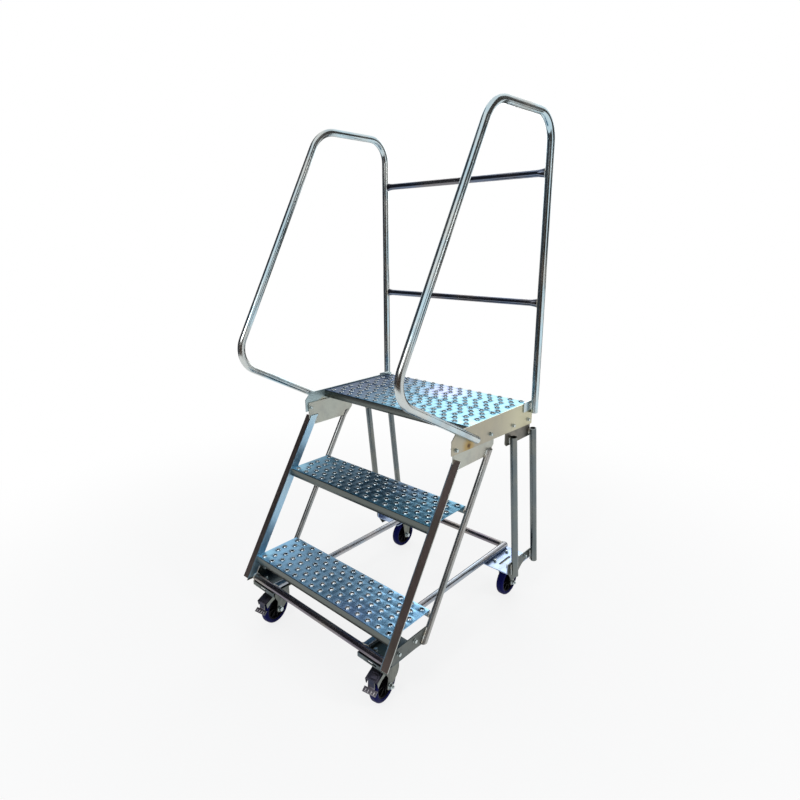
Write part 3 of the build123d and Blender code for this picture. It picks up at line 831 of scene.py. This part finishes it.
mount_face = corners("rear_housing_right")[1][2] + 3.0
castor_middle = (corners("swivel_plate_right")[0] + corners("swivel_plate_right")[1]) / 2
rear_middle = (corners("rear_housing_right")[0] + corners("rear_housing_right")[1]) / 2
FRONT_BOLTS = [(-20.0, -26.0), (30.0, -27.0), (-19.0, 30.0), (30.0, 30.0)]
REAR_BOLTS = [(-18.0, -49.0), (30.0, -49.0), (-19.0, 25.0), (30.0, 25.0)]
on_mounts = [(middle[0] + dx, middle[1] + dy, mount_face)
             for middle, offsets in ((castor_middle, FRONT_BOLTS), (rear_middle, REAR_BOLTS)) for dx, dy in offsets]
under = [(x, y, z - 6.0) for x, y, z in on_mounts]
piece("mount_bolts", mirrored_bolts(on_mounts, (0, 0, 1)), finishes["bolt"], "frame")
piece("mount_nuts", mirrored_bolts(under, (0, 0, -1), flat=9.0, thread=1.5), finishes["bolt"], "frame")


def axle_bolts(place, side, half):
    """Head on one side of the fork and a nut with its thread on the other, over the axle's shank."""
    low, high = corners(place + "_tyre_" + side)
    centre = (low + high) / 2
    axis = np.array(WHEEL_AXES[place])
    outward = axis if side == "right" else -axis
    shank = placed(lathe([(-half - 1, 0), (-half - 1, 5.0), (half + 1, 5.0), (half + 1, 0)], 36), centre, tuple(axis))
    parts = [shank] + bolt(centre + half * outward, tuple(outward), flat=13.0, thread=4.0)
    parts += bolt(centre - half * outward, tuple(-outward), flat=13.0)
    body = "front_fork_" + side if place == "front" else "frame"
    piece(place + "_axle_bolt_" + side, parts, finishes["bolt"], body, [place + "_axle_" + side])


for place in ("front", "rear"):
    for side in ("right", "left"):
        axle_bolts(place, side, 22.0)

# %% [markdown]
# ## Weld beads
#
# A hand-laid bead is a row of overlapping drops. Its radius swells with each
# drop, and it thins out at its ends. The bead is swept along its line as
# rings of points, half sunk in the joint, so that no boolean is needed.

# %% Beads along lines and round tubes
DROP = 2.6
BEAD = 1.7


def bead(points, radius=BEAD, drop=DROP, swell=0.14, closed=False):
    """Rings of radius r (1 + swell cos(2 pi s / drop)) along a line of points, thinned at open ends."""
    points = np.array(points, float)
    if closed:
        points = np.vstack([points, points[:1]])
    lengths = np.r_[0, np.cumsum(np.linalg.norm(np.diff(points, axis=0), axis=1))]
    s = np.linspace(0, lengths[-1], max(int(lengths[-1] / drop * 6), 8))
    line = np.stack([np.interp(s, lengths, points[:, k]) for k in range(3)], 1)
    tangent = np.gradient(line, axis=0)
    tangent /= np.linalg.norm(tangent, axis=1)[:, None]
    guide = np.where(np.abs(tangent[:, :1]) < 0.8, (1.0, 0, 0), (0, 0, 1.0))
    first = np.cross(tangent, guide)
    first /= np.linalg.norm(first, axis=1)[:, None]
    second = np.cross(tangent, first)
    size = radius * (1 + swell * np.cos(2 * math.pi * s / drop))
    if not closed:
        size = size * np.sqrt(np.clip(np.minimum(s, s[-1] - s) / radius, 0, 1))
    angle = np.linspace(0, 2 * math.pi, 10, endpoint=False)
    ring = first[:, None] * np.cos(angle)[:, None] + second[:, None] * np.sin(angle)[:, None]
    return surface(line[:, None] + size[:, None, None] * ring, closed=True)


def saddle(centre, axis, own, other, towards):
    """Closed line where a tube along one axis meets a round one across it.

    own gives its half width and half height there; depth = sqrt(other^2 - k^2), where k is the
    coordinate across the met tube: the width for a post, the height for a level tube (axis "level")."""
    angle = np.linspace(0, 2 * math.pi, 48, endpoint=False)
    side, up = own[0] * np.cos(angle), own[1] * np.sin(angle)
    if axis == "post":
        return np.stack([towards * np.sqrt(other ** 2 - side ** 2), side, up], 1) + np.array(centre)
    depth = towards * np.sqrt(np.clip(other ** 2 - up ** 2, 0, None))
    x, y = (depth, side) if axis == "level_x" else (side, depth)
    return np.stack([x, y, up], 1) + np.array(centre)


def both_sides(lines, **how):
    """A bead along each line and along its mirror image across the width."""
    return [bead(np.array(line, float) * (side, 1, 1), **how) for line in lines for side in (1, -1)]


def middle_of(node):
    low, high = corners(node)
    return (low + high) / 2


def along_slope(node, setback, low, high, x):
    """A line along the stair's slope, level with a sloping piece but set back in front of it."""
    centre = middle_of(node)
    return [(x, centre[1] + (z - centre[2]) * STAIR_RUN - setback, z) for z in (low, high)]


def beside_leg(node, low, high, offset):
    """A line beside a leaning leg, where its wall comes close to the plate behind it."""
    box_low, box_high = corners(node)
    top, bottom = box_low[1] + RAIL_RADIUS, box_high[1] - RAIL_RADIUS
    lean = (bottom - top) / (box_high[2] - box_low[2])
    return [(291.9, bottom - (z - box_low[2]) * lean + offset, z) for z in (low, high)]


RAIL_RADIUS = 10.65
STAIR_RUN = 0.6032
post_y = middle_of("guard_rail")[1]
rail_x = corners("handrail_right")[1][0] - RAIL_RADIUS
lines = [along_slope("rear_stringer_right", setback, low, high, 291.4)
         for setback in (11.0, -11.0) for low, high in ((140, 178), (584, 604))]
lines += [along_slope("front_stile_right", -15.4, low, high, 285.2) for low, high in ((154, 178), (586, 614))]
lines += [along_slope("rear_stringer_right", 9.0, low, high, 283.4) for low, high in ((196, 212), (446, 461))]
lines += [beside_leg(node + "_right", low, high, offset) for offset in (-7.8, 7.8) for node, low, high in (
    ("rear_leg_forward", 588, 608), ("rear_leg_aft", 588, 607), ("rear_leg_forward", 126, 166),
    ("rear_leg_aft", 128, 166))]
lines += [[(297.8, post_y - 9.8, 669), (297.8, post_y - 9.8, 691)], [(294.4, -30.0, 668.0), (294.4, -2.0, 653.0)]]
piece("weld_beads", both_sides(lines, radius=2.1), finishes["weld"], "frame")

FLAT_END = (5.2, 12.2)
rings = []
for side in (1, -1):
    for node in ("guard_rail", "knee_rail"):
        rings.append(saddle((side * rail_x, post_y, middle_of(node)[2]), "post", FLAT_END, RAIL_RADIUS + 0.3, -side))
    tube = middle_of("base_side_tube_right")
    own = (RAIL_RADIUS + 0.2, RAIL_RADIUS + 0.2)
    front, rear = middle_of("front_cross_tube"), middle_of("rear_cross_tube")
    rings.append(saddle((side * tube[0], front[1], tube[2]), "level_y", own, RAIL_RADIUS + 0.6, 1))
    rings.append(saddle((side * tube[0], rear[1], tube[2]), "level_x", own, RAIL_RADIUS + 0.6, -side))
    rings.append(saddle((side * 283.0, front[1], front[2]), "level_x", own, 0.0, side))
piece("tube_welds", [bead(ring, radius=1.5, closed=True) for ring in rings], finishes["weld"], "frame")

# %% [markdown]
# ## Rails with flattened ends
#
# The two rails between the posts are pinched flat where they meet them, so
# that they stand taller and thinner there. The tube is a ring swept along X,
# whose half width shrinks and whose half height grows over the last 30 mm.
# Its last rings follow the round of the post.

# %% Flattened rails
FLAT_LENGTH = 34.0


def flattened_rail(node):
    """Half width 9.5 -> 5.2 and half height 9.5 -> 12.2 towards both ends, cut to the posts' curve."""
    reach = rail_x
    x = np.r_[np.linspace(-reach, -reach + FLAT_LENGTH, 18), np.linspace(reach - FLAT_LENGTH, reach, 18)]
    round_radius = (corners(node)[1][2] - corners(node)[0][2]) / 2
    pinch = 1 - rise(reach - 8 - np.abs(x), FLAT_LENGTH - 8)
    wide = round_radius + (FLAT_END[0] - round_radius) * pinch
    tall = round_radius + (FLAT_END[1] - round_radius) * pinch
    angle = np.linspace(0, 2 * math.pi, 40, endpoint=False)
    y = wide[:, None] * np.cos(angle)
    z = tall[:, None] * np.sin(angle)
    limit = rail_x - np.sqrt(RAIL_RADIUS ** 2 - y ** 2) + 0.4
    along = np.clip(np.repeat(x[:, None], 40, 1), -limit, limit)
    tube = surface(np.stack([along, y + post_y, z + middle_of(node)[2]], -1), closed=True)
    piece(node + "_pinched", [tube], finishes["cross"], "frame", [node])


def rise(distance, width):
    """0 at the edge and 1 beyond a width inside it, smooth between: t^2 (3 - 2 t)."""
    share = np.clip(distance / width, 0, 1)
    return share ** 2 * (3 - 2 * share)


for node in ("guard_rail", "knee_rail"):
    flattened_rail(node)

# %% [markdown]
# ## Pressed details of the brake pedal
#
# The pedal's cover has a pressed panel with a raised bar, and its toe has
# three ribs for the shoe. The panel is a height field over the cover: every
# point is lifted by a smooth step of its distance from the panel's edge.

# %% Panel and ribs in the castor's own turned frame
FORK_TURN = math.atan2(WHEEL_AXES["front"][1], WHEEL_AXES["front"][0])
COVER_BACK = (49.0, 104.5)
COVER_FRONT = (79.5, 94.5)
NECK_FOOT = (80.5, 72.5)
TOE_END = (92.5, 65.0)


def in_castor(side, x, forward, up):
    """Points of the castor's side view, placed ahead of its swivel and turned with its fork."""
    swivel = middle_of("swivel_plate_" + side)
    c, s = math.cos(FORK_TURN), math.sin(FORK_TURN)
    return np.stack([swivel[0] + x * c + forward * s, swivel[1] + x * s - forward * c, up], -1)


def pressed_panel(side):
    """Height: 1.1 mm over the whole panel, minus a 1 mm dish inside it, plus a bar across the dish."""
    x, u = np.meshgrid(np.linspace(-14, 14, 57), np.linspace(0, 1, 49))
    run = np.subtract(COVER_FRONT, COVER_BACK)
    length = np.hypot(*run)
    v = 5 + u * (length - 8)
    edge = np.minimum(14 - np.abs(x), np.minimum(v - 5, length - 3 - v))
    height = 1.1 * rise(edge, 1.6) - 1.0 * rise(edge - 3.2, 1.5)
    height += 0.9 * rise(2.6 - np.abs(v - 13 - 0.25 * x), 1.4) * rise(8.5 - np.abs(x), 2.0) - 0.15
    normal = np.array([-run[1], run[0]]) / length
    forward = COVER_BACK[0] + run[0] * v / length + normal[0] * height
    up = COVER_BACK[1] + run[1] * v / length + normal[1] * height
    return surface(in_castor(side, x, forward, up)[::-1])


def toe_ribs(side):
    parts = []
    for x in (-13.0, -4.5, 4.5, 13.0):
        share = np.array([0.25, 0.9])
        forward = NECK_FOOT[0] + (TOE_END[0] - NECK_FOOT[0]) * share
        up = NECK_FOOT[1] + (TOE_END[1] - NECK_FOOT[1]) * share
        parts.append(bead(in_castor(side, np.full(2, x), forward, up), radius=1.7, swell=0.0))
    edge_x = np.array([-19.5, 19.5])
    parts.append(bead(in_castor(side, edge_x, np.full(2, TOE_END[0] - 2.2), np.full(2, TOE_END[1] - 0.2)),
                      radius=1.5, swell=0.0))
    return parts


for side in ("right", "left"):
    piece("pedal_panel_" + side, [pressed_panel(side)], finishes["pedal"], "front_fork_" + side)
    piece("pedal_ribs_" + side, toe_ribs(side), finishes["rib"], "front_fork_" + side)

# %% [markdown]
# ## Floor and light
#
# The photograph shows the steps cut out on plain white. The floor is pale, and
# to the camera and in reflections it is mostly a white light of strength 1,
# with a share of its real shading kept, so that a soft shadow stays. Further
# out that share fades to nothing and the floor melts into the white world.
#
# Plated tube in an all-white room looks like flat paint. Product
# photographers stand dark cards around bright metal, which show in it as dark
# lines and give it its roundness. The cards here are curved screens that only
# reflections see: they cast no shadow and stay out of the picture.

# %% Floor, world and lamps
SHADE_SHARE = 0.20
FADE_START = 0.7
FADE_END = 2.2


def shown_to_eye(tree):
    """A value that is 1 for camera, glossy and transmission rays."""
    path = tree.nodes.new("ShaderNodeLightPath")
    last = path.outputs["Is Camera Ray"]
    for name in ("Is Glossy Ray", "Is Transmission Ray"):
        either = tree.nodes.new("ShaderNodeMath")
        either.operation = "MAXIMUM"
        tree.links.new(last, either.inputs[0])
        tree.links.new(path.outputs[name], either.inputs[1])
        last = either.outputs[0]
    return last


def floor():
    size = 12.0
    mesh = bpy.data.meshes.new("floor")
    mesh.from_pydata([(-size, -size, 0), (size, -size, 0), (size, size, 0), (-size, size, 0)], [], [(0, 1, 2, 3)])
    made = bpy.data.objects.new("floor", mesh)
    bpy.context.scene.collection.objects.link(made)
    f = Finish("floor_white", Roughness=0.9)
    f.shader.inputs["Base Color"].default_value = (0.93, 0.93, 0.93, 1)
    away = f.node("ShaderNodeVectorMath", {"operation": "LENGTH"}, f.place, output="Value")
    share = SHADE_SHARE * (1 - away.ramp(FADE_START, FADE_END))
    eye = Wire(f, shown_to_eye(f.tree))
    white = f.tree.nodes.new("ShaderNodeEmission")
    mix = f.tree.nodes.new("ShaderNodeMixShader")
    f.feed(mix.inputs["Fac"], eye * (1 - share))
    f.tree.links.new(f.shader.outputs[0], mix.inputs[1])
    f.tree.links.new(white.outputs[0], mix.inputs[2])
    f.tree.links.new(mix.outputs[0], f.tree.nodes["Material Output"].inputs["Surface"])
    mesh.materials.append(f.material)


def lamp(name, place, size, power, colour=(1, 1, 1)):
    data = bpy.data.lights.new(name, "AREA")
    data.shape = "DISK"
    data.size = size
    data.energy = power
    data.color = colour
    made = bpy.data.objects.new(name, data)
    made.location = place
    made.rotation_euler = (Vector((0, 0, 0.6)) - Vector(place)).to_track_quat("-Z", "Y").to_euler()
    made.visible_camera = False
    bpy.context.scene.collection.objects.link(made)


def world():
    made = bpy.data.worlds.new("studio")
    made.use_nodes = True
    tree = made.node_tree
    shown = tree.nodes["Background"]
    soft = tree.nodes.new("ShaderNodeBackground")
    shown.inputs["Color"].default_value = (1, 1, 1, 1)
    shown.inputs["Strength"].default_value = 1.0
    soft.inputs["Color"].default_value = (0.96, 0.98, 1, 1)
    soft.inputs["Strength"].default_value = 0.6
    mix = tree.nodes.new("ShaderNodeMixShader")
    tree.links.new(shown_to_eye(tree), mix.inputs["Fac"])
    tree.links.new(soft.outputs[0], mix.inputs[1])
    tree.links.new(shown.outputs[0], mix.inputs[2])
    tree.links.new(mix.outputs[0], tree.nodes["World Output"].inputs["Surface"])
    bpy.context.scene.world = made


def dark_card(name, distance, from_azimuth, to_azimuth, low, high, tone):
    """Part of a cylinder around the object, from one azimuth to another: 0 is -Y and 90 is +X."""
    angle, z = np.meshgrid(np.radians(np.linspace(from_azimuth, to_azimuth, 25)), np.array([low, high]))
    rows = np.stack([distance * np.sin(angle), -distance * np.cos(angle), z], -1)
    points, faces = surface(rows)
    mesh = bpy.data.meshes.new(name)
    mesh.from_pydata(points.tolist(), [], faces.tolist())
    made = bpy.data.objects.new(name, mesh)
    bpy.context.scene.collection.objects.link(made)
    f = Finish(name + "_card", Roughness=0.9, Specular_IOR_Level=0.0)
    f.shader.inputs["Base Color"].default_value = (*tone, 1)
    mesh.materials.append(f.material)
    for ray in ("camera", "diffuse", "transmission", "shadow"):
        setattr(made, "visible_" + ray, False)


floor()
world()
dark_card("front_left", 2.6, -104, -12, 0.0, 5.5, (0.07, 0.07, 0.08))
dark_card("front", 2.2, -12, 70, 0.0, 1.9, (0.09, 0.06, 0.045))
dark_card("high_right", 2.6, 62, 94, 2.1, 5.0, (0.09, 0.07, 0.06))
dark_card("right", 2.6, 94, 150, 0.85, 5.0, (0.09, 0.07, 0.06))
dark_card("rear", 3.0, 150, 256, 0.0, 0.9, (0.08, 0.07, 0.06))
lamp("key", (0.6, -3.0, 2.6), 0.7, 24)
lamp("side", (3.0, 0.6, 2.2), 0.7, 16)
lamp("rear", (-1.3, 2.7, 1.9), 1.6, 12)
bpy.context.scene.view_settings.view_transform = "Standard"
